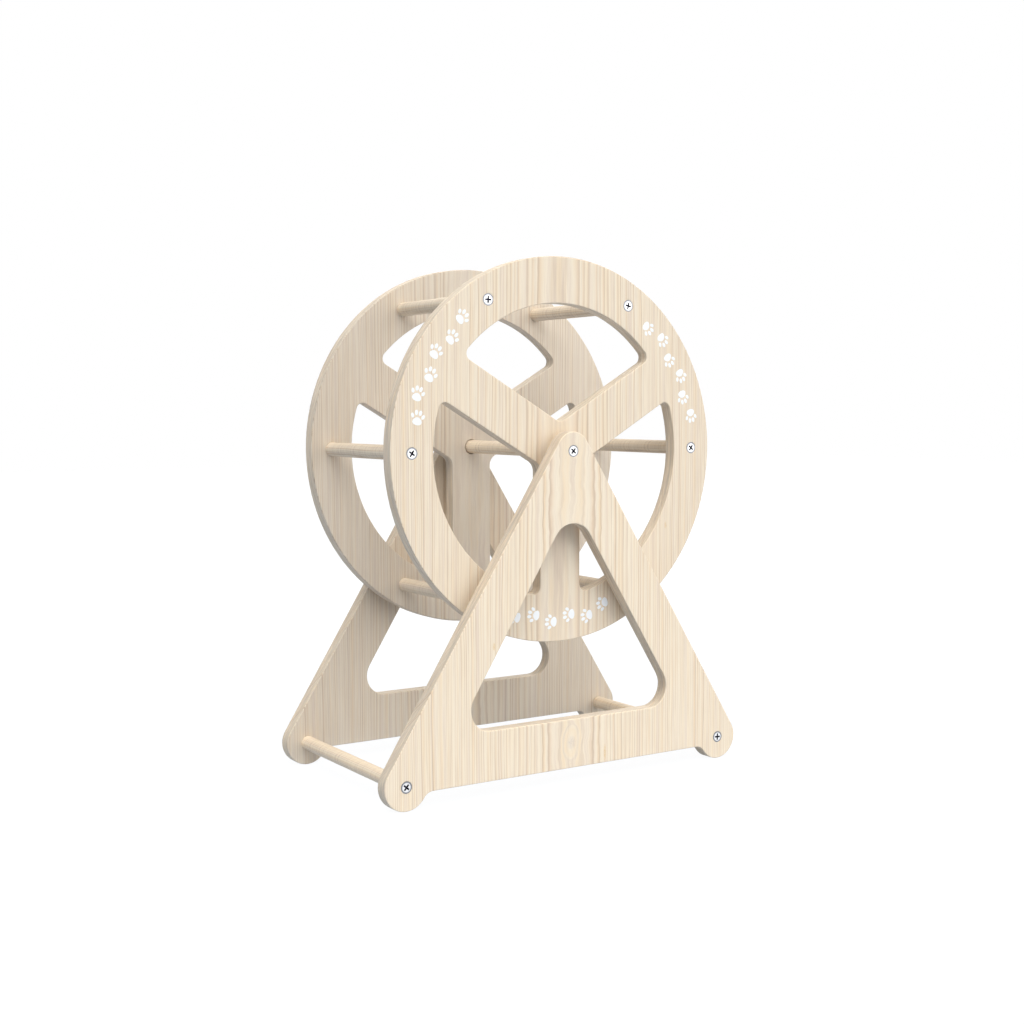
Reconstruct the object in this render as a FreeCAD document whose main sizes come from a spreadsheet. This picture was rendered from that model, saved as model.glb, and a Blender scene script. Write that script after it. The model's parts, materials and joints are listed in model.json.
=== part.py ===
import FreeCAD, Part
import math
import os
import Sketcher

# A small free-standing wooden wheel for a cat. Two A-shaped boards carry a fixed axle dowel, and a
# light wheel of two spoked discs joined by rungs turns freely on it.
# Millimetres. The origin is on the floor under the middle of the axle, +Z is up, the axle runs
# along Y and the front board faces -Y.

SIZES = (
    # the wheel
    ("wheel_diameter", 320.0),
    ("ring_width", 38.4),
    ("spoke_width", 40.0),
    ("spoke_count", 3),
    ("window_outer_round", 6.0),
    ("window_inner_round", 10.0),
    ("rung_count", 6),
    ("rung_length", 130.0),
    ("running_clearance", 0.8),
    # the two A-shaped boards
    ("axle_height", 277.0),
    ("foot_spread", 316.0),
    ("leg_width", 38.4),
    ("apex_radius", 16.0),
    ("rail_rise", 13.0),
    ("rail_height", 41.2),
    ("crotch_radius", 10.0),
    ("opening_top_round", 20.0),
    ("opening_corner_round", 18.0),
    # what all boards and dowels share
    ("board_thickness", 12.0),
    ("edge_round", 0.8),
    ("dowel_diameter", 12.0),
    ("dowel_chamfer", 0.5),
    # the gap between a disc and its board, and the ring that keeps it
    ("side_gap", 7.0),
    ("spacer_wall", 3.8),
    ("spacer_play", 0.3),
    ("spacer_bore_clearance", 0.2),
    # the wood screws
    ("screw_length", 35.0),
    ("shank_diameter", 4.0),
    ("head_diameter", 9.6),
    ("head_lip", 0.2),
    ("head_sink", 0.1),
    ("screw_clearance", 0.1),
    ("pilot_extra", 1.0),
    ("recess_span", 5.8),
    ("recess_wing", 1.5),
    ("recess_depth", 1.8),
)

# Heads and their seats are right-angled cones: the radius shrinks by as much as the cone is deep.
FLARE_ANGLE = 90.0
RECESS_TAPER = 9.0
RECESS_WINGS = 4

# Places and sizes that several pieces share.
DISC_INNER_FACE = "Sizes.rung_length / 2"
DISC_OUTER_FACE = DISC_INNER_FACE + " + Sizes.board_thickness"
FRAME_INNER_FACE = DISC_OUTER_FACE + " + Sizes.side_gap"
FRAME_OUTER_FACE = FRAME_INNER_FACE + " + Sizes.board_thickness"
FOOT_RADIUS = "Sizes.leg_width / 2"
FOOT_PLACES = {"left": "-Sizes.foot_spread / 2", "right": "Sizes.foot_spread / 2"}
RAIL_TOP = "Sizes.rail_rise + Sizes.rail_height"
RING_INNER_RADIUS = "Sizes.wheel_diameter / 2 - Sizes.ring_width"
RUNG_CIRCLE_RADIUS = "(Sizes.wheel_diameter - Sizes.ring_width) / 2"
SCREW_HOLE = "Sizes.shank_diameter + 2 * Sizes.screw_clearance"
SCREW_FLARE = (
    "Sizes.head_diameter + 2 * (Sizes.head_lip + Sizes.head_sink + Sizes.screw_clearance)")

# How far each cross recess is turned from upright, as the screws happened to stop.
FRONT_RUNG_TURNS = (38.0, 14.0, 2.0, 33.0, 61.0, 20.0)
REAR_RUNG_TURNS = (12.0, 47.0, 71.0, 25.0, 5.0, 54.0)
AXLE_TURNS = {"front": 42.0, "rear": 18.0}
FOOT_TURNS = {
    ("front", "left"): 40.0,
    ("front", "right"): 3.0,
    ("rear", "left"): 66.0,
    ("rear", "right"): 29.0,
}

document = FreeCAD.newDocument("cat_wheel")
sheet = document.addObject("Spreadsheet::Sheet", "Sizes")
for row, (alias, value) in enumerate(SIZES, start=1):
    sheet.set("A%d" % row, alias)
    sheet.set("B%d" % row, str(value))
    sheet.setAlias("B%d" % row, alias)
document.recompute()


def size(alias):
    """The number that the sheet holds under this alias."""
    return float(sheet.get(alias))


def worth(formula, is_angle=False):
    """What a formula comes to now: millimetres, a count, or radians for an angle."""
    result = sheet.evalExpression(formula)
    return result.getValueAs("rad").Value if is_angle else float(result)


def flat(x, y):
    """A point of a sketch."""
    return FreeCAD.Vector(x, y, 0)


def mirrored(point):
    """The same point on the other side of the sketch's upright axis."""
    return flat(-point.x, point.y)


# ---------------------------------------------------------------- sketches and features

ORIGIN = -1
LEVEL_AXIS = -1
UPRIGHT_AXIS = -2
START, FINISH, CENTRE = 1, 2, 3
SQUARE_ENOUGH = 0.999


def new_body(label):
    body = document.addObject("PartDesign::Body", label)
    body.Label = label
    return body


def origin_feature(body, role):
    """One of the body's own base planes or axes."""
    return next(item for item in body.Origin.OriginFeatures if item.Role == role)


def new_sketch(body, name, plane="XZ_Plane", offset=None):
    """A sketch on a base plane, moved along the plane's normal where an offset is given."""
    sketch = body.newObject("Sketcher::SketchObject", name)
    sketch.AttachmentSupport = [(origin_feature(body, plane), "")]
    sketch.MapMode = "FlatFace"
    if offset is not None:
        sketch.setExpression("AttachmentOffset.Base.z", offset)
    return sketch


def hold(sketch, kind, *items):
    """Adds a relation that needs no size."""
    sketch.addConstraint(Sketcher.Constraint(kind, *items))


def bind(sketch, kind, *items):
    """Adds a dimension whose last item is the formula that drives it."""
    *places, formula = items
    now = worth(formula, is_angle=kind == "Angle")
    index = sketch.addConstraint(Sketcher.Constraint(kind, *places, now))
    sketch.setExpression("Constraints[%d]" % index, formula)


def bearing(vector):
    return math.atan2(vector.y, vector.x)


def closed_loop(sketch, pieces):
    """Adds pieces end to end, each tangent to the next, and returns their numbers.

    A piece is (start, centre, turn). It is a straight line where centre is None, and otherwise an
    arc that turns left (1) or right (-1) about that centre. It ends where the next one starts.
    """
    numbers = []
    for place, (start, centre, turn) in enumerate(pieces):
        finish = pieces[(place + 1) % len(pieces)][0]
        if centre is None:
            numbers.append(sketch.addGeometry(Part.LineSegment(start, finish)))
            continue
        first, last = (start, finish) if turn > 0 else (finish, start)
        circle = Part.Circle(centre, FreeCAD.Vector(0, 0, 1), (start - centre).Length)
        arc = Part.ArcOfCircle(circle, bearing(first - centre), bearing(last - centre))
        numbers.append(sketch.addGeometry(arc))
    for place, number in enumerate(numbers):
        following = (place + 1) % len(pieces)
        leaving = START if pieces[place][2] < 0 else FINISH
        arriving = FINISH if pieces[following][2] < 0 else START
        hold(sketch, "Tangent", number, leaving, numbers[following], arriving)
    return numbers


def closed_polygon(sketch, corners):
    """Adds straight lines from corner to corner and returns their numbers."""
    lines = []
    for place, start in enumerate(corners):
        finish = corners[(place + 1) % len(corners)]
        lines.append(sketch.addGeometry(Part.LineSegment(start, finish)))
    for place, line in enumerate(lines):
        following = lines[(place + 1) % len(lines)]
        hold(sketch, "Coincident", line, FINISH, following, START)
    return lines


def pin_centre(sketch, number, x, y):
    """Holds a round's centre at two formulas, or on an axis where the formula is None."""
    if x is None:
        hold(sketch, "PointOnObject", number, CENTRE, UPRIGHT_AXIS)
    else:
        bind(sketch, "DistanceX", ORIGIN, START, number, CENTRE, x)
    if y is None:
        hold(sketch, "PointOnObject", number, CENTRE, LEVEL_AXIS)
    else:
        bind(sketch, "DistanceY", ORIGIN, START, number, CENTRE, y)


def add_circle(sketch, diameter, x=None, y=None):
    """A circle whose diameter and centre follow formulas; a centre of None is on that axis."""
    centre = flat(worth(x or "0"), worth(y or "0"))
    circle = Part.Circle(centre, FreeCAD.Vector(0, 0, 1), worth(diameter) / 2)
    number = sketch.addGeometry(circle)
    pin_centre(sketch, number, x, y)
    bind(sketch, "Diameter", number, diameter)


def pad(body, sketch, length, both_ways=False):
    feature = body.newObject("PartDesign::Pad", "Pad")
    feature.Profile = sketch
    feature.SideType = "Symmetric" if both_ways else "One side"
    feature.setExpression("Length", length)
    document.recompute()
    return feature


def pocket(body, sketch, depth, taper=0.0):
    """Cuts a sketch into the board behind it and makes sure that something was cut."""
    before = body.Shape.Volume
    feature = body.newObject("PartDesign::Pocket", "Pocket")
    feature.Profile = sketch
    feature.setExpression("Length", depth)
    feature.TaperAngle = taper
    document.recompute()
    if body.Shape.Volume >= before:
        raise ValueError("a pocket of %s cut nothing" % body.Label)
    return feature


def repeat_round(body, feature, count):
    """Repeats a feature evenly about the axle's line; the count is a number or a formula."""
    pattern = body.newObject("PartDesign::PolarPattern", "PolarPattern")
    pattern.Originals = [feature]
    pattern.Axis = (origin_feature(body, "Y_Axis"), [""])
    pattern.Angle = 360
    if isinstance(count, str):
        pattern.setExpression("Occurrences", count)
    else:
        pattern.Occurrences = count
    body.Tip = pattern
    document.recompute()
    return pattern


def flat_faces(feature):
    """The names of the faces square to Y, whose rims get rounded or chamfered."""
    names = []
    for number, face in enumerate(feature.Shape.Faces, start=1):
        if isinstance(face.Surface, Part.Plane) and abs(face.Surface.Axis.y) > SQUARE_ENOUGH:
            names.append("Face%d" % number)
    return names


def soften(body, feature, kind, length):
    """Rounds or chamfers all edges of the faces that are square to Y."""
    treatment = body.newObject("PartDesign::" + kind, kind)
    treatment.Base = (feature, flat_faces(feature))
    treatment.setExpression("Radius" if kind == "Fillet" else "Size", length)
    document.recompute()


def countersunk_holes(body, sketch):
    """Screw holes through the board, flared at the outer face for the screws' heads."""
    document.recompute()
    before = body.Shape.Volume
    hole = body.newObject("PartDesign::Hole", "Hole")
    hole.Profile = sketch
    hole.DepthType = "ThroughAll"
    hole.setExpression("Diameter", SCREW_HOLE)
    hole.HoleCutType = "Countersink"
    hole.HoleCutCustomValues = True
    hole.setExpression("HoleCutDiameter", SCREW_FLARE)
    hole.HoleCutCountersinkAngle = FLARE_ANGLE
    document.recompute()
    if body.Shape.Volume >= before:
        raise ValueError("the screw holes of %s cut nothing" % body.Label)
    return hole


def place(body, x, y, z, turn=0.0, facing="front"):
    """Puts a body at three formulas, turned about Y, and faces it to the front or the rear."""
    about_axle = FreeCAD.Rotation(FreeCAD.Vector(0, 1, 0), turn)
    about_upright = FreeCAD.Rotation(FreeCAD.Vector(0, 0, 1), 0 if facing == "front" else 180)
    body.Placement = FreeCAD.Placement(FreeCAD.Vector(), about_upright * about_axle)
    body.setExpression("Placement.Base.x", x)
    body.setExpression("Placement.Base.y", y)
    body.setExpression("Placement.Base.z", z)


def outward(distance, facing):
    """A formula for a distance from the middle of the wheel towards the front or the rear."""
    return "%s(%s)" % ("-" if facing == "front" else "", distance)


# ---------------------------------------------------------------- the A-shaped boards


def leg_normal():
    """The way out of the right leg's outer edge, which touches both the apex and foot rounds."""
    apex = flat(0, size("axle_height"))
    foot = flat(size("foot_spread") / 2, size("leg_width") / 2)
    down = foot - apex
    across = flat(-down.y, down.x) / down.Length
    lean = math.asin((size("apex_radius") - size("leg_width") / 2) / down.Length)
    return across * math.cos(lean) + down / down.Length * math.sin(lean)


def outer_outline(sketch):
    """The outside of the board: apex round, two legs, round feet and the rail's lower edge."""
    normal = leg_normal()
    apex = flat(0, size("axle_height"))
    foot_radius = size("leg_width") / 2
    foot = flat(size("foot_spread") / 2, foot_radius)
    crotch_y = size("rail_rise") - size("crotch_radius")
    centre_gap = foot_radius + size("crotch_radius")
    inset = math.sqrt(centre_gap ** 2 - (foot_radius - crotch_y) ** 2)
    crotch = foot + flat(-inset, crotch_y - foot_radius)
    shoulder = apex + normal * size("apex_radius")
    heel = foot + normal * foot_radius
    arch = foot + (crotch - foot) * (foot_radius / centre_gap)
    rail_end = flat(crotch.x, size("rail_rise"))
    pieces = (
        (shoulder, apex, 1),
        (mirrored(shoulder), None, 0),
        (mirrored(heel), mirrored(foot), 1),
        (mirrored(arch), mirrored(crotch), -1),
        (mirrored(rail_end), None, 0),
        (rail_end, crotch, -1),
        (arch, foot, 1),
        (heel, None, 0),
    )
    numbers = closed_loop(sketch, pieces)
    top, left_edge, left_foot, left_crotch, rail, right_crotch, right_foot, right_edge = numbers
    pin_centre(sketch, top, None, "Sizes.axle_height")
    bind(sketch, "Radius", top, "Sizes.apex_radius")
    pin_centre(sketch, right_foot, "Sizes.foot_spread / 2", FOOT_RADIUS)
    bind(sketch, "Radius", right_foot, FOOT_RADIUS)
    hold(sketch, "Symmetric", left_foot, CENTRE, right_foot, CENTRE, UPRIGHT_AXIS)
    hold(sketch, "Equal", left_foot, right_foot)
    bind(sketch, "Radius", right_crotch, "Sizes.crotch_radius")
    hold(sketch, "Equal", left_crotch, right_crotch)
    hold(sketch, "Horizontal", rail)
    bind(sketch, "DistanceY", ORIGIN, START, rail, START, "Sizes.rail_rise")
    return left_edge, right_edge


def inner_outline(sketch, left_edge, right_edge):
    """The board's opening: its sides run along the legs and its lower edge is the rail's top."""
    normal = leg_normal()
    apex_y = size("axle_height")
    depth = size("apex_radius") - size("leg_width")
    top_round = size("opening_top_round")
    corner_round = size("opening_corner_round")
    rail_top = worth(RAIL_TOP)
    peak = flat(0, apex_y + (depth - top_round) / normal.y)
    corner_y = rail_top + corner_round
    corner_x = (depth - corner_round - normal.y * (corner_y - apex_y)) / normal.x
    corner = flat(corner_x, corner_y)
    peak_side = peak + normal * top_round
    corner_side = corner + normal * corner_round
    rail_end = flat(corner.x, rail_top)
    pieces = (
        (peak_side, peak, 1),
        (mirrored(peak_side), None, 0),
        (mirrored(corner_side), mirrored(corner), 1),
        (mirrored(rail_end), None, 0),
        (rail_end, corner, 1),
        (corner_side, None, 0),
    )
    numbers = closed_loop(sketch, pieces)
    top, left_side, left_corner, rail, right_corner, right_side = numbers
    hold(sketch, "Parallel", left_side, left_edge)
    hold(sketch, "Parallel", right_side, right_edge)
    bind(sketch, "Distance", right_side, START, right_edge, "Sizes.leg_width")
    hold(sketch, "PointOnObject", top, CENTRE, UPRIGHT_AXIS)
    bind(sketch, "Radius", top, "Sizes.opening_top_round")
    bind(sketch, "Radius", right_corner, "Sizes.opening_corner_round")
    hold(sketch, "Equal", left_corner, right_corner)
    hold(sketch, "Horizontal", rail)
    bind(sketch, "DistanceY", ORIGIN, START, rail, START, RAIL_TOP)


def make_frame(facing):
    """An A-shaped board with a screw hole at the apex and at each foot."""
    body = new_body(facing + "_frame")
    outline = new_sketch(body, "Outline")
    edges = outer_outline(outline)
    inner_outline(outline, *edges)
    board = pad(body, outline, "Sizes.board_thickness")
    soften(body, board, "Fillet", "Sizes.edge_round")
    centres = new_sketch(body, "ScrewCentres", offset="Sizes.board_thickness")
    add_circle(centres, SCREW_HOLE, y="Sizes.axle_height")
    for x in FOOT_PLACES.values():
        add_circle(centres, SCREW_HOLE, x, FOOT_RADIUS)
    countersunk_holes(body, centres)
    place(body, "0", outward(FRAME_INNER_FACE, facing), "0", facing=facing)
    return body


# ---------------------------------------------------------------- the wheel's discs


def window_outline(sketch):
    """The upper window of a disc, between two spokes and the ring, with rounded corners."""
    tilt = math.pi / 2 - math.pi / size("spoke_count")
    along = flat(math.cos(tilt), math.sin(tilt))
    normal = flat(along.y, -along.x)
    half_spoke = size("spoke_width") / 2
    inner_round = size("window_inner_round")
    outer_round = size("window_outer_round")
    ring_inner = worth(RING_INNER_RADIUS)
    hub = flat(0, (half_spoke + inner_round) / -normal.y)
    hub_side = hub + normal * inner_round
    reach = ring_inner - outer_round
    side_offset = half_spoke + outer_round
    corner = along * math.sqrt(reach ** 2 - side_offset ** 2) - normal * side_offset
    corner_side = corner + normal * outer_round
    rim_end = corner * (ring_inner / reach)
    centre = flat(0, 0)
    pieces = (
        (rim_end, centre, 1),
        (mirrored(rim_end), mirrored(corner), 1),
        (mirrored(corner_side), None, 0),
        (mirrored(hub_side), hub, 1),
        (hub_side, None, 0),
        (corner_side, corner, 1),
    )
    rim, left_corner, left_side, inner, right_side, right_corner = closed_loop(sketch, pieces)
    hold(sketch, "Coincident", rim, CENTRE, ORIGIN, START)
    bind(sketch, "Radius", rim, RING_INNER_RADIUS)
    hold(sketch, "Equal", left_corner, right_corner)
    bind(sketch, "Radius", right_corner, "Sizes.window_outer_round")
    bind(sketch, "Radius", inner, "Sizes.window_inner_round")
    hold(sketch, "PointOnObject", inner, CENTRE, UPRIGHT_AXIS)
    bind(sketch, "Distance", ORIGIN, START, right_side, "Sizes.spoke_width / 2")
    half_turn = "180 deg / Sizes.spoke_count"
    bind(sketch, "Angle", right_side, START, UPRIGHT_AXIS, START, half_turn)
    bind(sketch, "Angle", UPRIGHT_AXIS, START, left_side, FINISH, half_turn)


def make_disc(facing):
    """A spoked disc with a loose bore for the axle and a screw hole for each rung."""
    body = new_body(facing + "_disc")
    outline = new_sketch(body, "Outline")
    add_circle(outline, "Sizes.wheel_diameter")
    pad(body, outline, "Sizes.board_thickness")
    window = new_sketch(body, "Window", offset="Sizes.board_thickness")
    window_outline(window)
    opening = pocket(body, window, "Sizes.board_thickness")
    windows = repeat_round(body, opening, "Sizes.spoke_count")
    soften(body, windows, "Fillet", "Sizes.edge_round")
    bore = new_sketch(body, "Bore", offset="Sizes.board_thickness")
    add_circle(bore, "Sizes.dowel_diameter + 2 * Sizes.running_clearance")
    pocket(body, bore, "Sizes.board_thickness")
    centre = new_sketch(body, "ScrewCentre", offset="Sizes.board_thickness")
    add_circle(centre, SCREW_HOLE, x=RUNG_CIRCLE_RADIUS)
    hole = countersunk_holes(body, centre)
    repeat_round(body, hole, "Sizes.rung_count")
    place(body, "0", outward(DISC_INNER_FACE, facing), "Sizes.axle_height", facing=facing)
    return body


# ---------------------------------------------------------------- dowels


def make_dowel(label, length, x, z):
    """A round dowel along Y with softened ends and a pilot hole in each end."""
    body = new_body(label)
    outline = new_sketch(body, "Outline")
    add_circle(outline, "Sizes.dowel_diameter")
    rod = pad(body, outline, length, both_ways=True)
    soften(body, rod, "Chamfer", "Sizes.dowel_chamfer")
    pilot = new_sketch(body, "Pilot", offset="(%s) / 2" % length)
    add_circle(pilot, SCREW_HOLE)
    depth = "Sizes.screw_length + Sizes.head_sink - Sizes.board_thickness + Sizes.pilot_extra"
    front_pilot = pocket(body, pilot, depth)
    both_pilots = body.newObject("PartDesign::Mirrored", "Mirrored")
    both_pilots.Originals = [front_pilot]
    both_pilots.MirrorPlane = (origin_feature(body, "XZ_Plane"), [""])
    body.Tip = both_pilots
    document.recompute()
    place(body, x, "0", z)
    return body


# ---------------------------------------------------------------- spacer rings


def make_spacer(facing):
    """A plain ring on the axle, against the A-shaped board, that keeps the disc off the board."""
    body = new_body(facing + "_spacer")
    section = new_sketch(body, "Section")
    bore = "Sizes.dowel_diameter + 2 * Sizes.spacer_bore_clearance"
    add_circle(section, bore)
    add_circle(section, bore + " + 2 * Sizes.spacer_wall")
    ring = pad(body, section, "Sizes.side_gap - Sizes.spacer_play")
    soften(body, ring, "Chamfer", "Sizes.dowel_chamfer")
    seat = DISC_OUTER_FACE + " + Sizes.spacer_play"
    place(body, "0", outward(seat, facing), "Sizes.axle_height", facing=facing)
    return body


# ---------------------------------------------------------------- wood screws


def half_section(sketch):
    """Half of a screw cut lengthwise: flat head, lip, cone, shank and point."""
    head = size("head_diameter") / 2
    shank = size("shank_diameter") / 2
    lip = size("head_lip")
    length = size("screw_length")
    corners = (
        flat(0, 0),
        flat(head, 0),
        flat(head, lip),
        flat(shank, lip + head - shank),
        flat(shank, length - shank),
        flat(0, length),
    )
    top, side, cone, body_side, point, axis = closed_polygon(sketch, corners)
    hold(sketch, "Coincident", top, START, ORIGIN, START)
    hold(sketch, "Horizontal", top)
    for upright in (side, body_side, axis):
        hold(sketch, "Vertical", upright)
    bind(sketch, "DistanceX", top, START, top, FINISH, "Sizes.head_diameter / 2")
    bind(sketch, "DistanceY", side, START, side, FINISH, "Sizes.head_lip")
    bind(sketch, "DistanceX", ORIGIN, START, body_side, START, "Sizes.shank_diameter / 2")
    bind(sketch, "DistanceY", cone, START, cone, FINISH,
         "(Sizes.head_diameter - Sizes.shank_diameter) / 2")
    bind(sketch, "DistanceY", point, START, point, FINISH, "Sizes.shank_diameter / 2")
    bind(sketch, "DistanceY", ORIGIN, START, point, FINISH, "Sizes.screw_length")


def recess_bar(sketch):
    """One wing of the cross recess: a bar that runs outwards and just covers the middle."""
    half_wing = size("recess_wing") / 2
    reach = size("recess_span") / 2
    corners = (
        flat(-half_wing, -half_wing),
        flat(reach, -half_wing),
        flat(reach, half_wing),
        flat(-half_wing, half_wing),
    )
    lower, outer, upper, inner = closed_polygon(sketch, corners)
    hold(sketch, "Horizontal", lower)
    hold(sketch, "Vertical", outer)
    hold(sketch, "Horizontal", upper)
    hold(sketch, "Symmetric", inner, START, inner, FINISH, LEVEL_AXIS)
    bind(sketch, "DistanceX", lower, START, ORIGIN, START, "Sizes.recess_wing / 2")
    bind(sketch, "DistanceX", ORIGIN, START, lower, FINISH, "Sizes.recess_span / 2")
    bind(sketch, "DistanceY", outer, START, outer, FINISH, "Sizes.recess_wing")


def make_screw(label, x, face, z, turn, facing):
    """A countersunk wood screw with a cross recess, its head just under the face it sits in."""
    body = new_body(label)
    profile = new_sketch(body, "Profile", plane="XY_Plane")
    half_section(profile)
    turned = body.newObject("PartDesign::Revolution", "Revolution")
    turned.Profile = profile
    turned.ReferenceAxis = (profile, ["V_Axis"])
    turned.Angle = 360
    document.recompute()
    wing = new_sketch(body, "Wing")
    recess_bar(wing)
    cut = pocket(body, wing, "Sizes.recess_depth", taper=-RECESS_TAPER)
    repeat_round(body, cut, RECESS_WINGS)
    place(body, x, outward(face + " - Sizes.head_sink", facing), z, turn, facing)
    return body


# ---------------------------------------------------------------- the whole object


def rung_place(number):
    """Formulas for the place of one rung, counted round from the right."""
    angle = "360 deg * %d / Sizes.rung_count" % number
    x = "%s * cos(%s)" % (RUNG_CIRCLE_RADIUS, angle)
    z = "Sizes.axle_height + %s * sin(%s)" % (RUNG_CIRCLE_RADIUS, angle)
    return x, z


def make_stand():
    """Everything that stands still."""
    length = "Sizes.rung_length + 2 * (Sizes.board_thickness + Sizes.side_gap)"
    pieces = [make_dowel("axle_dowel", length, "0", "Sizes.axle_height")]
    for side, x in FOOT_PLACES.items():
        pieces.append(make_dowel(side + "_stretcher", length, x, FOOT_RADIUS))
    for facing in ("front", "rear"):
        pieces.append(make_frame(facing))
        pieces.append(make_spacer(facing))
        pieces.append(make_screw(facing + "_axle_screw", "0", FRAME_OUTER_FACE,
                                 "Sizes.axle_height", AXLE_TURNS[facing], facing))
        for side, x in FOOT_PLACES.items():
            label = "%s_%s_foot_screw" % (facing, side)
            turn = FOOT_TURNS[facing, side]
            pieces.append(make_screw(label, x, FRAME_OUTER_FACE, FOOT_RADIUS, turn, facing))
    return pieces


def make_wheel():
    """Everything that turns on the axle."""
    pieces = [make_disc("front"), make_disc("rear")]
    turns = {"front": FRONT_RUNG_TURNS, "rear": REAR_RUNG_TURNS}
    for number in range(int(size("rung_count"))):
        x, z = rung_place(number)
        name = "rung_%d" % (number + 1)
        pieces.append(make_dowel(name, "Sizes.rung_length", x, z))
        for facing, angles in turns.items():
            turn = angles[number % len(angles)]
            label = "%s_%s_screw" % (name, facing)
            pieces.append(make_screw(label, x, DISC_OUTER_FACE, z, turn, facing))
    return pieces


def check(pieces):
    """Stops where an object of the document failed or a piece has no sound solid."""
    for item in document.Objects:
        if "Invalid" in item.State or "Error" in item.State:
            raise ValueError("%s of the document is %s" % (item.Label, item.State))
    for body in pieces:
        shape = body.Shape
        if shape.isNull() or not shape.isValid() or len(shape.Solids) != 1:
            raise ValueError("%s is not one sound solid" % body.Label)


pieces = make_stand() + make_wheel()
document.recompute()
check(pieces)
os.makedirs("parts", exist_ok=True)
for body in pieces:
    body.Shape.exportStep("parts/%s.step" % body.Label)
    print("%-24s %10.1f mm3" % (body.Label, body.Shape.Volume))
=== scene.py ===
import json
import math
from dataclasses import dataclass

import bpy
import numpy as np
from mathutils import Matrix, Vector


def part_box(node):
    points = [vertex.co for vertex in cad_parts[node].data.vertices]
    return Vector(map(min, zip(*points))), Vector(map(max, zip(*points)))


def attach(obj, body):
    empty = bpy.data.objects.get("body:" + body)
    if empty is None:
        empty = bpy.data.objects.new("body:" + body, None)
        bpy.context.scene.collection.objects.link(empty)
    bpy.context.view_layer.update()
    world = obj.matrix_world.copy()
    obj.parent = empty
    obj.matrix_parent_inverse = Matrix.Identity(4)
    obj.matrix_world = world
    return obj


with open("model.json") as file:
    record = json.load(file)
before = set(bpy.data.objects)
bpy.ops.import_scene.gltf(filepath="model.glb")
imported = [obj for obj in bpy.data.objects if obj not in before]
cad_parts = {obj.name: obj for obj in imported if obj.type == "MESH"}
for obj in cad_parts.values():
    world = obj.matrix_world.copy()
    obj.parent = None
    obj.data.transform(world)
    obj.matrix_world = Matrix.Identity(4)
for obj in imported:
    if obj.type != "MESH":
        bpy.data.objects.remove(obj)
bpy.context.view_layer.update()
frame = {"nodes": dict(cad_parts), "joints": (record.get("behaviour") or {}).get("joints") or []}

MM = 0.001

# The row frame is in metres: the floor is z = 0, the front board faces -Y, the axle runs along Y.
AXLE = Vector(frame["joints"][0]["pos_m"])
DISC_FACE_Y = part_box("front_disc")[0].y
RUNG_CIRCLE = (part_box("rung_1")[0].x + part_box("rung_1")[1].x) / 2


# ---------------------------------------------------------------- camera

# In metres and radians. The turn is towards the right, the tilt upwards.
CAMERA_FROM_AXLE = Vector((-0.6869, -1.0624, 0.0362))
CAMERA_TURN = 0.5752
CAMERA_TILT = -0.0727
CAMERA_ROLL = -0.0014
PHOTO_WIDTH = 1024
PHOTO_FOCAL_PIXELS = 1442.4
SENSOR_WIDTH = 36.0


def make_camera():
    """Stands left of the front and looks a little down, as the photograph was taken."""
    ahead = Vector((math.sin(CAMERA_TURN) * math.cos(CAMERA_TILT),
                    math.cos(CAMERA_TURN) * math.cos(CAMERA_TILT),
                    math.sin(CAMERA_TILT)))
    level = Vector((math.cos(CAMERA_TURN), -math.sin(CAMERA_TURN), 0.0))
    up = level.cross(ahead)
    right = level * math.cos(CAMERA_ROLL) + up * math.sin(CAMERA_ROLL)
    up = right.cross(ahead)
    place = Matrix((right, up, -ahead)).transposed().to_4x4()
    place.translation = AXLE + CAMERA_FROM_AXLE
    camera = bpy.data.objects.new("camera", bpy.data.cameras.new("camera"))
    camera.data.sensor_width = SENSOR_WIDTH
    camera.data.lens = PHOTO_FOCAL_PIXELS / PHOTO_WIDTH * SENSOR_WIDTH
    camera.matrix_world = place
    bpy.context.scene.collection.objects.link(camera)
    bpy.context.scene.camera = camera


# ---------------------------------------------------------------- shader nodes

class Wire:
    """A number on its way through the nodes. It takes part in ordinary arithmetic."""

    def __init__(self, nodes, socket):
        self.nodes = nodes
        self.socket = socket

    def join(self, operation, *values):
        return self.nodes.node("ShaderNodeMath", {"operation": operation}, values)

    def __add__(self, other):
        return self.join("ADD", self, other)

    def __sub__(self, other):
        return self.join("SUBTRACT", self, other)

    def __rsub__(self, other):
        return self.join("SUBTRACT", other, self)

    def __mul__(self, other):
        return self.join("MULTIPLY", self, other)

    def __truediv__(self, other):
        return self.join("DIVIDE", self, other)

    def __abs__(self):
        return self.join("ABSOLUTE", self)

    def root(self):
        return self.join("SQRT", self)

    def whole(self):
        return self.join("FLOOR", self)

    def rest(self):
        return self.join("FRACT", self)

    def clamp(self):
        return self.join("MAXIMUM", self.join("MINIMUM", self, 1.0), 0.0)

    def rise(self, start, end):
        """0 before start, 1 after end, and smooth between them."""
        inputs = {"Value": self, "From Min": start, "From Max": end}
        return self.nodes.node("ShaderNodeMapRange", {"interpolation_type": "SMOOTHSTEP"}, inputs)

    __radd__ = __add__
    __rmul__ = __mul__


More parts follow.
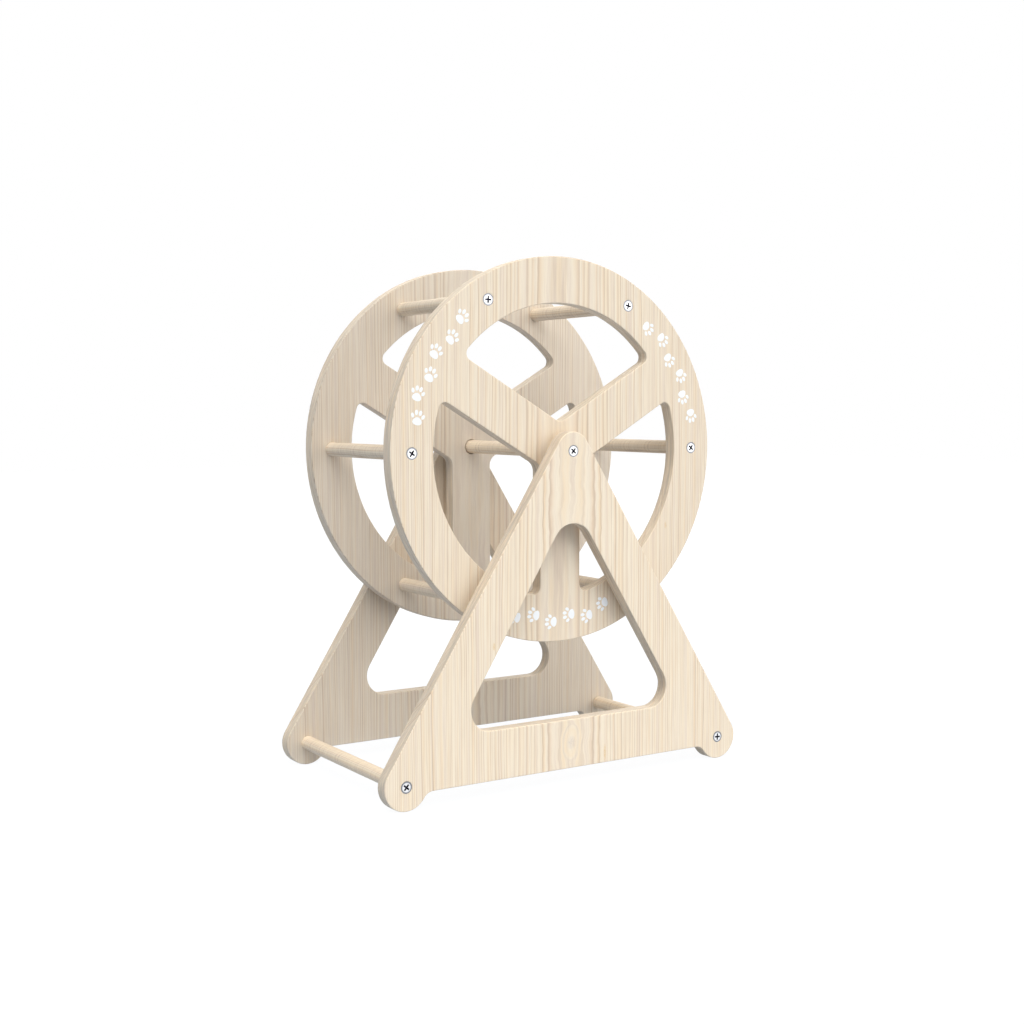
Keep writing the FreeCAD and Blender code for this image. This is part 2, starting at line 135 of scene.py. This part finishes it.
class Nodes:
    """The nodes of one material or of the world."""

    def __init__(self, tree):
        self.tree = tree

    def node(self, kind, settings=None, inputs=None, output=0):
        """Adds a node: its settings first, then the values or links of its sockets."""
        node = self.tree.nodes.new(kind)
        for name, value in (settings or {}).items():
            setattr(node, name, value)
        pairs = inputs.items() if isinstance(inputs, dict) else enumerate(inputs or ())
        for name, value in pairs:
            self.feed(node.inputs[name], value)
        return Wire(self, node.outputs[output])

    def feed(self, socket, value):
        if isinstance(value, Wire):
            self.tree.links.new(value.socket, socket)
        else:
            socket.default_value = value

    def set(self, **inputs):
        """Feeds the surface shader's own sockets, named with underscores for spaces."""
        surface = self.tree.nodes["Principled BSDF"]
        for name, value in inputs.items():
            self.feed(surface.inputs[name.replace("_", " ")], value)

    def position(self):
        """The place on the piece in millimetres, as three numbers."""
        place = self.node("ShaderNodeTexCoord", output="Object")
        inputs = {0: place, "Scale": 1 / MM}
        place = self.node("ShaderNodeVectorMath", {"operation": "SCALE"}, inputs)
        split = self.node("ShaderNodeSeparateXYZ", inputs=[place]).socket.node
        return [Wire(self, split.outputs[axis]) for axis in "XYZ"]

    def cloud(self, x, y, z, detail=2.0, roughness=0.5):
        """Soft noise from -1 to 1 or so over a place given in its own units."""
        place = self.node("ShaderNodeCombineXYZ", inputs=[x, y, z])
        inputs = {"Vector": place, "Scale": 1.0, "Detail": detail, "Roughness": roughness}
        return self.node("ShaderNodeTexNoise", inputs=inputs) * 2.0 - 1.0

    def sway(self, along, detail=1.0, roughness=0.5):
        """Soft noise from -1 to 1 or so along one number."""
        inputs = {"W": along, "Scale": 1.0, "Detail": detail, "Roughness": roughness}
        return self.node("ShaderNodeTexNoise", {"noise_dimensions": "1D"}, inputs) * 2.0 - 1.0

    def chance(self, number):
        """Another number from 0 to 1 for every whole number."""
        return self.node("ShaderNodeTexWhiteNoise", {"noise_dimensions": "1D"}, {"W": number})

    def mix(self, factor, first, second):
        """A colour between two others."""
        inputs = {0: factor, 6: first, 7: second}
        return self.node("ShaderNodeMix", {"data_type": "RGBA"}, inputs, output=2)

    def bump(self, height, distance, strength):
        inputs = {"Height": height, "Distance": distance, "Strength": strength}
        return self.node("ShaderNodeBump", inputs=inputs)


def new_material(name):
    material = bpy.data.materials.new(name)
    material.use_nodes = True
    return material, Nodes(material.node_tree)


def tone(red, green, blue):
    """A colour as a monitor shows it, in 0 to 255, turned into the amount of light."""
    shown = np.array((red, green, blue)) / 255
    light = np.where(shown <= 0.04045, shown / 12.92, ((shown + 0.055) / 1.055) ** 2.4)
    return (*light.tolist(), 1.0)


# ---------------------------------------------------------------- wood

# Lengths in this part are in millimetres.
EARLY_WOOD = tone(244, 228, 203)
LATE_WOOD = tone(234, 207, 170)
RING_LINE = tone(203, 179, 155)
HONEY = tone(240, 214, 176)
MAUVE = tone(228, 206, 186)
CREAM = tone(247, 233, 208)
RESIN = tone(229, 198, 146)
KNOT = tone(203, 185, 175)
# Painted shade: whole pieces and a board's sawn edges are darkened towards this colour, and so are
# the streaks along the edges' grain.
SHADE_AND_STREAK_DARK = (0.04, 0.06, 0.10, 1.0)
# Painted shade: the blue-grey that a board's face towards the wheel's middle, where shade falls
# between the boards, is greyed towards.
PAINTED_SHADE_GREY = (0.16, 0.25, 0.38, 1.0)

# A yearly ring, and the parts of its width at which its late wood and its line start and end.
RING_WIDTH = 1.3
LATE_START = 0.25
LATE_FULL = 0.80
LATE_END = 0.90
LINE_START = 0.60
LINE_PLACE = 0.86
LINE_END = 0.88
FAINTEST_RING = 0.25
RING_CHANCE = 0.9
RING_UNEVENNESS = 1.1
UNEVEN_WIDTH = 4.0
UNEVEN_FULL = 3.0

# How far slow noise and, near the middle, a wave push the rings aside.
DRIFT = 3.5
DRIFT_ACROSS = 60.0
DRIFT_ALONG = 170.0
WAVE_ACROSS = 15.0
WAVE_ALONG = 17.0
WAVE_START = 6.0
WAVE_REACH = 48.0

# Finer lines, fibres and tints. A face's middle is where the lift is below MIDDLE_LIFT.
FINE_RING_WIDTH = 0.5
FIBRE_ACROSS = 1.3
FIBRE_ALONG = 40.0
TINT_WIDTH = 2.6
FADE_ACROSS = 9.0
FADE_ALONG = 55.0
FADE_DEPTH = 0.4
MIDDLE_LIFT = 1.5
BAND_WIDTH = 6.0
BAND_LENGTH = 90.0
BAND_TINT = 2.0
TURNING_WIDTH = 2.6
TURNING_SLANT = 0.4

# Each noise along the lift takes its own multiple of the seed, so that no two run alike.
FINE_SEED = 3.0
TINT_SEED = 7.0
PALE_SEED = 11.0

# How much of each colour goes in, and how much each pattern darkens towards the ring line's.
LATE_AMOUNT = 0.75
HONEY_AMOUNT = 0.8
MAUVE_AMOUNT = 0.7
CREAM_AMOUNT = 0.7
LINE_DARKNESS = 0.5
FINE_DARKNESS = 0.24
FIBRE_DARKNESS = 0.45
BAND_DARKNESS = 0.35
EVEN_DARKNESS = 0.05

# A spot's reach is 1 on the ellipse of its half width and half height.
SPOT_CORE = 0.1
SPOT_RIM = 1.4
SPOT_BEND_REACH = 8.0
SPECK_SIZE = 1.1
SPECK_FILL = 0.6

# A board's edges turn into its faces between these depths under a face.
EDGE_END = 0.7
FACE_START = 0.2
STREAK_WIDTH = 2.2
STREAK_LENGTH = 28.0
STREAK_DEPTH = 0.30

# The grain stands up as the sum of its line, its finer lines and its fibres.
GRAIN_RELIEF = 0.04 * MM
GRAIN_BUMP = 0.5
LINE_RELIEF = 0.6
FINE_RELIEF = 0.3
WOOD_ROUGHNESS = 0.58
LINE_SMOOTHNESS = 0.06
FIBRE_ROUGHNESS = 0.05
WOOD_SPECULAR = 0.3


@dataclass
class Spot:
    """A knot or a streak of resin, at a place across from the tree's middle and at a height."""

    across: float
    height: float
    half_width: float
    half_height: float
    colour: tuple
    strength: float
    bend: float = 0.0  # how far it bends the rings round it


@dataclass
class Cut:
    """How a piece is cut from the tree, in millimetres, and how much painted shade darkens it."""

    axes: str  # the piece's axes across the grain, through the board and along the grain
    heart: tuple  # the tree's middle, across and through
    face_depth: float  # how far the face lies from the tree's middle
    seed: float  # sets this piece's noise apart
    first_line: float = 12.0  # where the first ring's line meets the face, from its middle
    wave: float = 0.0  # how far the rings wave near the middle
    spots: tuple = ()
    turning: float = 0.0  # how strong the bands are that rounding leaves across a dowel
    # painted shade over the whole piece
    shade: float = 0.0  # darkens the whole piece
    faces: tuple = None  # a board's front and rear face
    # painted shade on a board's sawn edges
    edge_shade: float = 0.0  # darkens a board's sawn edges
    # painted shade that greys the board's face towards the wheel's middle
    inner_shade: float = 0.0  # greys the board's face that looks to the wheel's middle


def pushed_aside(wood, cut, x, y, z):
    """The place across the grain, moved by slow noise and near the middle by a wave."""
    drift = wood.cloud(x / DRIFT_ACROSS + cut.seed, y / DRIFT_ACROSS, z / DRIFT_ALONG)
    pushed = x + drift * DRIFT
    if cut.wave:
        near = 1.0 - abs(x).rise(WAVE_START, WAVE_REACH)
        wobble = wood.cloud(x / WAVE_ACROSS, y / DRIFT_ACROSS, z / WAVE_ALONG + cut.seed)
        pushed = pushed + wobble * near * cut.wave
    return pushed


def bent_round_spots(wood, cut, x, y, z, lift):
    """The lift with the rings bent round every spot, and each spot's mark with its colour."""
    speck = wood.cloud(x / SPECK_SIZE, y / SPECK_SIZE, z / SPECK_SIZE) + SPECK_FILL
    marks = []
    for spot in cut.spots:
        aside = (x - spot.across) / spot.half_width
        along = (z - spot.height) / spot.half_height
        reach = aside * aside + along * along
        lift = lift - (1.0 - reach / SPOT_BEND_REACH).clamp() * spot.bend
        mark = (1.0 - reach.rise(SPOT_CORE, SPOT_RIM)) * speck.clamp() * spot.strength
        marks.append((mark, spot.colour))
    return lift, marks


def yearly_rings(wood, cut, lift, fade):
    """How strong the late wood and the thin line at the year's end are.

    The lift in ring widths counts the rings. Its whole part picks how strong a ring is, and its
    remainder goes from early wood through late wood to the line.
    """
    first_lift = math.hypot(cut.first_line, cut.face_depth) - cut.face_depth
    uneven = wood.sway(lift / UNEVEN_WIDTH + cut.seed) * (abs(lift) / UNEVEN_FULL).clamp()
    count = (lift - first_lift) / RING_WIDTH + uneven * RING_UNEVENNESS + LINE_PLACE
    part = count.rest()
    chance = wood.chance(count.whole() + cut.seed)
    strength = chance * RING_CHANCE + FAINTEST_RING + fade * FADE_DEPTH
    late = part.rise(LATE_START, LATE_FULL) * (1.0 - part.rise(LATE_END, 1.0)) * strength
    line = part.rise(LINE_START, LINE_PLACE) * (1.0 - part.rise(LINE_END, 1.0)) * strength
    return late, line


def tinted(wood, cut, colour, lift, fade, band):
    """The colour with honey, mauve and cream tints that follow the rings."""
    outside = (abs(lift) / MIDDLE_LIFT).clamp()
    tint = wood.sway(lift / TINT_WIDTH + cut.seed * TINT_SEED) * outside + fade * FADE_DEPTH
    tint = tint + band * BAND_TINT
    pale = wood.sway(lift / TINT_WIDTH + cut.seed * PALE_SEED) * outside
    colour = wood.mix((tint * HONEY_AMOUNT).clamp(), colour, HONEY)
    colour = wood.mix((tint * -MAUVE_AMOUNT).clamp(), colour, MAUVE)
    return wood.mix((pale * CREAM_AMOUNT).clamp(), colour, CREAM)


def middle_bands(wood, cut, lift, z):
    """Broad bands in the middle, where the rings lie flat and their lines are far apart."""
    from_middle = (abs(lift) * (2.0 * cut.face_depth)).root()
    inside = 1.0 - (abs(lift) / MIDDLE_LIFT).clamp()
    return wood.cloud(from_middle / BAND_WIDTH, cut.seed, z / BAND_LENGTH) * inside


def board_sides(cut, through):
    """Where painted shade goes: 1 on a board's sawn edges, and 1 on its face towards the wheel's
    middle.
    """
    front, rear = cut.faces
    middle = (front + rear) / 2
    half = (rear - front) / 2
    inward = (through - middle) * (1.0 if middle < 0 else -1.0)
    inner_face = inward.rise(half - EDGE_END, half - FACE_START)
    edge = 1.0 - abs(inward).rise(half - EDGE_END, half - FACE_START)
    return edge, inner_face


def pine(name, cut):
    """Sawn pine: yearly rings round the tree's middle, cut by the faces of the piece.

    x and y are the place from the tree's middle, across the grain and through the board, and z
    is the place along the grain. The lift is how much farther a place lies from the tree's
    middle than the middle of the face does, and a ring's line keeps to one lift.
    """
    material, wood = new_material(name)
    place = dict(zip("XYZ", wood.position()))
    across, through, z = (place[axis] for axis in cut.axes)
    x, y = across - cut.heart[0], through - cut.heart[1]
    pushed = pushed_aside(wood, cut, x, y, z)
    lift = (pushed * pushed + y * y).root() - cut.face_depth
    lift, marks = bent_round_spots(wood, cut, x, y, z, lift)
    fade = wood.cloud(x / FADE_ACROSS, cut.seed, z / FADE_ALONG)
    band = middle_bands(wood, cut, lift, z)
    late, line = yearly_rings(wood, cut, lift, fade)
    fine = wood.sway(lift / FINE_RING_WIDTH + cut.seed * FINE_SEED, detail=2.0, roughness=0.6)
    fibre = wood.cloud(pushed / FIBRE_ACROSS, y / FIBRE_ACROSS, z / FIBRE_ALONG + cut.seed,
                       detail=3.0, roughness=0.6)
    dark = line * LINE_DARKNESS + fine * FINE_DARKNESS + fibre * FIBRE_DARKNESS
    dark = dark - band * BAND_DARKNESS + EVEN_DARKNESS
    if cut.turning:
        slanted = z + x * TURNING_SLANT
        dark = dark + wood.sway(slanted / TURNING_WIDTH + cut.seed) * cut.turning
    colour = wood.mix((late * LATE_AMOUNT).clamp(), EARLY_WOOD, LATE_WOOD)
    colour = tinted(wood, cut, colour, lift, fade, band)
    colour = wood.mix(dark.clamp(), colour, RING_LINE)
    for mark, mark_colour in marks:
        colour = wood.mix(mark, colour, mark_colour)
    # Painted shade darkens the whole piece and a board's sawn edges, and greys its face towards the
    # wheel's middle; the streaks along the edges are the grain's own.
    shade = cut.shade
    if cut.faces:
        edge, inner_face = board_sides(cut, through)
        streak = wood.cloud(x / STREAK_LENGTH + cut.seed, y / STREAK_WIDTH, z / STREAK_LENGTH)
        colour = wood.mix(inner_face * cut.inner_shade, colour, PAINTED_SHADE_GREY)
        shade = edge * (streak * STREAK_DEPTH + cut.edge_shade) + cut.shade
    colour = wood.mix(shade, colour, SHADE_AND_STREAK_DARK)
    relief = line * LINE_RELIEF + fine * FINE_RELIEF + fibre
    roughness = WOOD_ROUGHNESS - line * LINE_SMOOTHNESS + fibre * FIBRE_ROUGHNESS
    wood.set(Base_Color=colour, Roughness=roughness, Specular_IOR_Level=WOOD_SPECULAR,
             Normal=wood.bump(relief, GRAIN_RELIEF, GRAIN_BUMP))
    return material


BOARD_AXES = "XYZ"
DOWEL_AXES = "XZY"
HEART_DEPTH = 140.0
DOWEL_HEART = (14.0, 21.0)
# Painted shade on the rungs, which sit between the discs.
RUNG_SHADE = 0.12
DOWEL_TURNING = 0.5
DOWEL_SEED_STEP = 1.7


def board(node, across, **details):
    """A board whose tree's middle lies so far across from the axle, behind the front face."""
    low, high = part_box(node)
    faces = (low.y / MM, high.y / MM)
    heart = (across, faces[0] + HEART_DEPTH)
    return pine("pine_" + node, Cut(BOARD_AXES, heart, HEART_DEPTH, faces=faces, **details))


def dowel(node, seed):
    """A dowel's rings lie round a tree's middle a little outside it."""
    low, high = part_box(node)
    middle = (low + high) / 2 / MM
    heart = (middle.x + DOWEL_HEART[0], middle.z + DOWEL_HEART[1])
    shade = RUNG_SHADE if node.startswith("rung") else 0.0
    cut = Cut(DOWEL_AXES, heart, math.hypot(*DOWEL_HEART), seed, shade=shade,
              turning=DOWEL_TURNING)
    return pine("pine_" + node, cut)


def front_frame_finish():
    """Rings that wave in the middle, a small knot in the rail, and two streaks of resin."""
    axle = AXLE.z / MM
    knot = Spot(0.0, axle - 242.5, 4.7, 5.6, KNOT, 0.42, bend=0.3)
    rail_streak = Spot(34.3, axle - 255.5, 1.3, 8.0, RESIN, 1.1)
    leg_streak = Spot(-76.0, axle - 155.0, 1.4, 3.4, RESIN, 0.9)
    return board("front_frame", across=-1.5, seed=2.3, first_line=11.0, wave=4.0,
                 spots=(knot, rail_streak, leg_streak), edge_shade=0.22, inner_shade=0.13)


def rear_frame_finish():
    return board("rear_frame", across=4.0, seed=9.1, first_line=15.0, wave=2.0,
                 edge_shade=0.16, inner_shade=0.13)


def front_disc_finish():
    """Straighter grain, with a streak of resin low on the right of the ring."""
    streak = Spot(114.5, AXLE.z / MM - 67.5, 1.3, 3.4, RESIN, 0.9)
    return board("front_disc", across=-2.0, seed=6.9, first_line=20.0, wave=1.0,
                 spots=(streak,), shade=0.04, edge_shade=0.13, inner_shade=0.14)


def rear_disc_finish():
    return board("rear_disc", across=3.0, seed=14.2, first_line=17.0, wave=1.5,
                 shade=0.04, edge_shade=0.16, inner_shade=0.14)


# ---------------------------------------------------------------- steel, nylon and ink

BRIGHT_STEEL = (0.80, 0.81, 0.83, 1.0)
# Painted shade round the head's rim.
RIM_SHADE_GREY = (0.25, 0.26, 0.28, 1.0)
# Painted shade down in the cross recess.
RECESS_SHADE_DARK = (0.03, 0.03, 0.05, 1.0)
# How far inside a head's edge the rim starts and is full, and how deep under its face the recess.
RIM_START = 1.5
RIM_FULL = 0.7
RECESS_START = 0.08
RECESS_FULL = 0.16
STEEL_ROUGHNESS = 0.38
SCUFF_SIZE = 1.5
SCUFF_DEPTH = 0.12

NYLON = tone(226, 224, 216)
PALE_NYLON = tone(238, 236, 230)
NYLON_ROUGHNESS = 0.45
MOTTLE_SIZE = 3.0
MOTTLE_DEPTH = 0.06

INK = tone(246, 245, 243)
PALE_INK = tone(250, 250, 249)
INK_ROUGHNESS = 0.5
INK_RELIEF = 0.03 * MM
INK_BUMP = 0.4
PORE_ACROSS = 0.6
PORE_ALONG = 8.0
PORE_DEPTH = 0.05


def screw_steel(node):
    """Bright plated steel, with painted shade round the head's rim and down in the cross recess."""
    low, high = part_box(node)
    middle = (low + high) / 2 / MM
    radius = (high.x - low.x) / 2 / MM
    face = max(abs(low.y), abs(high.y)) / MM
    material, steel = new_material("steel_" + node)
    x, y, z = steel.position()
    x, z = x - middle.x, z - middle.z
    away = (x * x + z * z).root()
    deep = face - abs(y)
    scuff = steel.cloud(x / SCUFF_SIZE, y / SCUFF_SIZE, z / SCUFF_SIZE, detail=4.0, roughness=0.65)
    # Painted shade round the head's rim.
    rim = away.rise(radius - RIM_START, radius - RIM_FULL)
    colour = steel.mix(rim, BRIGHT_STEEL, RIM_SHADE_GREY)
    # Painted shade down in the cross recess.
    colour = steel.mix(deep.rise(RECESS_START, RECESS_FULL), colour, RECESS_SHADE_DARK)
    steel.set(Base_Color=colour, Roughness=STEEL_ROUGHNESS + scuff * SCUFF_DEPTH, Metallic=1.0)
    return material


def nylon(name):
    """Pale moulded nylon with a faint mottle."""
    material, plastic = new_material(name)
    x, y, z = plastic.position()
    mottle = plastic.cloud(x / MOTTLE_SIZE, y / MOTTLE_SIZE, z / MOTTLE_SIZE, detail=3.0)
    colour = plastic.mix(mottle * 0.5 + 0.5, NYLON, PALE_NYLON)
    plastic.set(Base_Color=colour, Roughness=NYLON_ROUGHNESS + mottle * MOTTLE_DEPTH)
    return material


def white_ink(name):
    """White printed ink that lets a little of the wood's relief through."""
    material, ink = new_material(name)
    x, y, z = ink.position()
    pores = ink.cloud(x / PORE_ACROSS, y / PORE_ACROSS, z / PORE_ALONG, detail=3.0, roughness=0.6)
    colour = ink.mix(pores * 0.5 + 0.5, INK, PALE_INK)
    ink.set(Base_Color=colour, Roughness=INK_ROUGHNESS + pores * PORE_DEPTH,
            Normal=ink.bump(pores, INK_RELIEF, INK_BUMP))
    return material


def dress_nodes():
    """Gives every CAD node its finish. Each board and dowel has its own place in the tree."""
    nylon_ring = nylon("nylon_ring")
    finishes = {
        "front_frame": front_frame_finish(),
        "rear_frame": rear_frame_finish(),
        "front_disc": front_disc_finish(),
        "rear_disc": rear_disc_finish(),
        "front_spacer": nylon_ring,
        "rear_spacer": nylon_ring,
    }
    for number, (node, piece) in enumerate(sorted(frame["nodes"].items())):
        if node in finishes:
            material = finishes[node]
        elif node.endswith("screw"):
            material = screw_steel(node)
        else:
            material = dowel(node, DOWEL_SEED_STEP * number)
        piece.data.materials.clear()
        piece.data.materials.append(material)


# ---------------------------------------------------------------- printed paw marks

PRINT_BEARINGS = {"upper_right": 30.0, "upper_left": 150.0, "lower": 270.0}
PRINTS_IN_A_ROW = 6
PRINT_STEP = 7.4
PRINT_SIDESTEP = 2.4 * MM
PAW_SIZE = 6.8 * MM
INK_THICKNESS = 0.06 * MM
PAD_RINGS = 4
PAD_POINTS = 28


def pad(centre, half_width, half_height, lean=0.0, pinch=0.0):
    """One pad of a paw as a thin dome of ink over an ellipse, narrower at its top by the pinch.

    At share s of the way out and angle a, the place is s times (half width times cos a times
    (1 - pinch times sin a), half height times sin a), turned by the lean, and its height is the
    root of 1 - s to the fourth.
    """
    share = np.linspace(0.0, 1.0, PAD_RINGS + 1)[1:, None]
    angle = np.linspace(0.0, 2 * math.pi, PAD_POINTS, endpoint=False)[None, :]
    x = share * half_width * np.cos(angle) * (1 - pinch * np.sin(angle))
    y = share * half_height * np.sin(angle)
    height = np.sqrt(1 - share ** 4) * np.ones_like(angle)
    across = centre[0] + x * math.cos(lean) - y * math.sin(lean)
    up = centre[1] + x * math.sin(lean) + y * math.cos(lean)
    rings = np.stack((across, up, height), axis=-1).reshape(-1, 3)
    return np.vstack(((centre[0], centre[1], 1.0), rings))


def pad_faces(first):
    """Triangles at the middle and quads between the rings of one pad."""
    spoke = np.arange(PAD_POINTS)
    following = (spoke + 1) % PAD_POINTS
    inner = first + 1 + PAD_POINTS * np.arange(PAD_RINGS - 1)[:, None]
    outer = inner + PAD_POINTS
    middle = np.full(PAD_POINTS, first)
    triangles = np.stack((middle, first + 1 + spoke, first + 1 + following), axis=-1)
    quads = np.stack((inner + spoke, outer + spoke, outer + following, inner + following), axis=-1)
    return triangles.tolist() + quads.reshape(-1, 4).tolist()


def paw():
    """A paw mark of size 1: a broad pad with four toes ahead of it."""
    pads = [pad(centre=(0.0, -0.36), half_width=0.60, half_height=0.46, pinch=0.22)]
    for side in (-1, 1):
        outer_toe, inner_toe = (side * 0.70, 0.22), (side * 0.27, 0.62)
        pads.append(pad(outer_toe, half_width=0.20, half_height=0.29, lean=side * -0.45))
        pads.append(pad(inner_toe, half_width=0.21, half_height=0.31, lean=side * -0.14))
    return pads


def print_row(name, bearing):
    """A row of paw marks that walk clockwise round the ring, left and right of its middle."""
    points, faces, count = [], [], 0
    for step in range(PRINTS_IN_A_ROW):
        offset = step - (PRINTS_IN_A_ROW - 1) / 2
        angle = math.radians(bearing - offset * PRINT_STEP)
        reach = RUNG_CIRCLE + (PRINT_SIDESTEP if step % 2 else -PRINT_SIDESTEP)
        outward = np.array((math.cos(angle), math.sin(angle)))
        ahead = np.array((math.sin(angle), -math.cos(angle)))
        for shape in paw():
            flat = outward * reach + PAW_SIZE * (shape[:, 1:2] * ahead - shape[:, :1] * outward)
            y = DISC_FACE_Y - INK_THICKNESS * shape[:, 2]
            points.append(np.column_stack((AXLE.x + flat[:, 0], y, AXLE.z + flat[:, 1])))
            faces += pad_faces(count)
            count += len(shape)
    mesh = bpy.data.meshes.new(name)
    mesh.from_pydata(np.vstack(points), [], faces)
    mesh.shade_smooth()
    piece = bpy.data.objects.new(name, mesh)
    bpy.context.scene.collection.objects.link(piece)
    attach(piece, "wheel")
    return piece


def make_prints():
    ink = white_ink("white_ink")
    for place, bearing in PRINT_BEARINGS.items():
        print_row("paw_prints_" + place, bearing).data.materials.append(ink)


# ---------------------------------------------------------------- studio

FLOOR_SIZE = 12.0
FLOOR_SHADE = (0.47, 0.54, 0.65, 1.0)
FLOOR_GLOW = 0.90
FLOOR_FADE_START = 0.25
FLOOR_FADE_END = 0.70
GLOW_STRENGTH = 1.07
SKY_STRENGTH = 0.02

LAMP_DISTANCE = 2.0

# Each lamp: its bearing from straight in front, its height, how wide it looks, and its strength.
LAMPS = {
    "key": (-35.0, 58.0, 60.0, 0.87),
    "right": (40.0, 20.0, 60.0, 0.52),
    "left": (-80.0, 50.0, 60.0, 0.10),
    "top": (0.0, 88.0, 50.0, 0.07),
    "back": (165.0, 14.0, 70.0, 0.40),
}


def make_lamp(name, bearing, height, width, strength):
    """A far, wide softbox: at strength 1 it shows a facing surface in its own colour."""
    lamp = bpy.data.lights.new(name, "SUN")
    lamp.angle = math.radians(width)
    lamp.energy = strength * math.pi
    around, up = math.radians(bearing), math.radians(height)
    toward = Vector((math.sin(around) * math.cos(up), -math.cos(around) * math.cos(up), math.sin(up)))
    holder = bpy.data.objects.new(name, lamp)
    holder.rotation_euler = toward.to_track_quat("Z", "Y").to_euler()
    holder.location = AXLE + toward * LAMP_DISTANCE
    bpy.context.scene.collection.objects.link(holder)


def looked_at(nodes):
    """1 for a ray from the camera or a reflection, 0 for light that falls on a surface."""
    path = nodes.node("ShaderNodeLightPath").socket.node
    rays = ["Is Camera Ray", "Is Glossy Ray", "Is Transmission Ray"]
    camera, glossy, clear = (Wire(nodes, path.outputs[ray]) for ray in rays)
    return (camera + glossy + clear).clamp()


def make_world():
    """White where it is looked at, and a faint sky for the rest."""
    world = bpy.data.worlds.new("studio")
    world.use_nodes = True
    bpy.context.scene.world = world
    nodes = Nodes(world.node_tree)
    strength = looked_at(nodes) * (1.0 - SKY_STRENGTH) + SKY_STRENGTH
    white = {"Color": (1.0, 1.0, 1.0, 1.0), "Strength": strength}
    sky = nodes.node("ShaderNodeBackground", inputs=white)
    nodes.feed(world.node_tree.nodes["World Output"].inputs["Surface"], sky)


def make_floor():
    """A pale floor that takes the object's shadow and fades into the white behind it."""
    half = FLOOR_SIZE / 2
    corners = [(-half, -half, 0), (half, -half, 0), (half, half, 0), (-half, half, 0)]
    mesh = bpy.data.meshes.new("floor")
    mesh.from_pydata(corners, [], [(0, 1, 2, 3)])
    floor = bpy.data.objects.new("floor", mesh)
    bpy.context.scene.collection.objects.link(floor)
    material, nodes = new_material("floor_white")
    x, y = nodes.position()[:2]
    away = ((x * x + y * y).root() * MM).rise(FLOOR_FADE_START, FLOOR_FADE_END)
    glow = looked_at(nodes) * (FLOOR_GLOW + away * (1.0 - FLOOR_GLOW))
    plain = nodes.node("ShaderNodeBsdfDiffuse", inputs={"Color": FLOOR_SHADE})
    white = nodes.node("ShaderNodeEmission", inputs={"Strength": GLOW_STRENGTH})
    mixed = nodes.node("ShaderNodeMixShader", inputs=[glow, plain, white])
    nodes.feed(material.node_tree.nodes["Material Output"].inputs["Surface"], mixed)
    mesh.materials.append(material)


def make_studio():
    make_world()
    make_floor()
    for name, settings in LAMPS.items():
        make_lamp(name, *settings)
    bpy.context.scene.view_settings.view_transform = "Standard"


make_camera()
make_studio()
dress_nodes()
make_prints()
